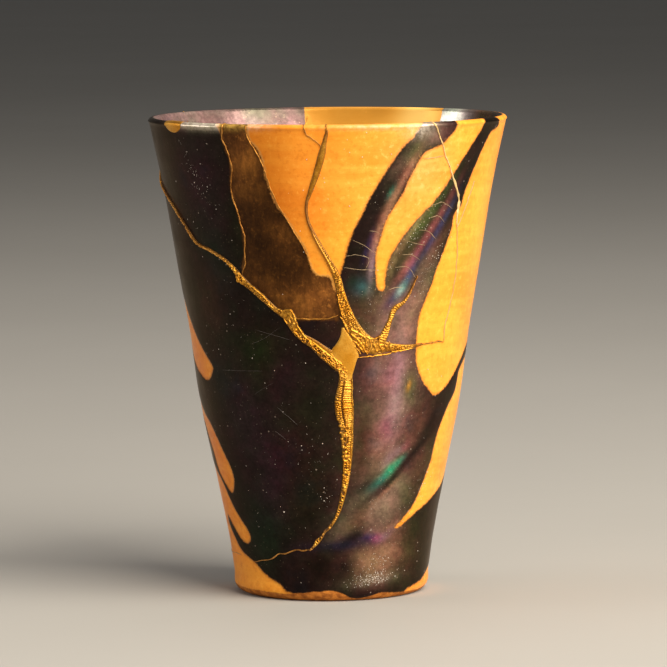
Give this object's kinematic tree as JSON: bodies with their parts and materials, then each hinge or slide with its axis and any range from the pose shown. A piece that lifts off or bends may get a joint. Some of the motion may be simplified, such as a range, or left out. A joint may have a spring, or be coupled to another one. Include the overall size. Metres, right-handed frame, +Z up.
{
  "type": "kintsugi cup",
  "caption": "Tall handleless stoneware cup with a rounded lip and a narrow foot, its cracks and a rim chip mended with raised gold lacquer.",
  "frame": {"origin": "middle of the foot, on the surface the cup stands on", "axes": "+Z up the cup's axis, -Y towards the side where the gold seams meet, +X to the right of that side"},
  "size_m": [0.0868, 0.0868, 0.1152],
  "materials": {
    "glazed_stoneware": "poured glossy glaze, dark iridescent over orange-brown",
    "gold_lacquer": "soft satin gold dust on lacquer"
  },
  "bodies": {
    "root": {"cup_body": "glazed_stoneware", "gold_seam_front": "gold_lacquer", "gold_seam_back": "gold_lacquer", "gold_rim_chip": "gold_lacquer"}
  },
  "joints": []
}
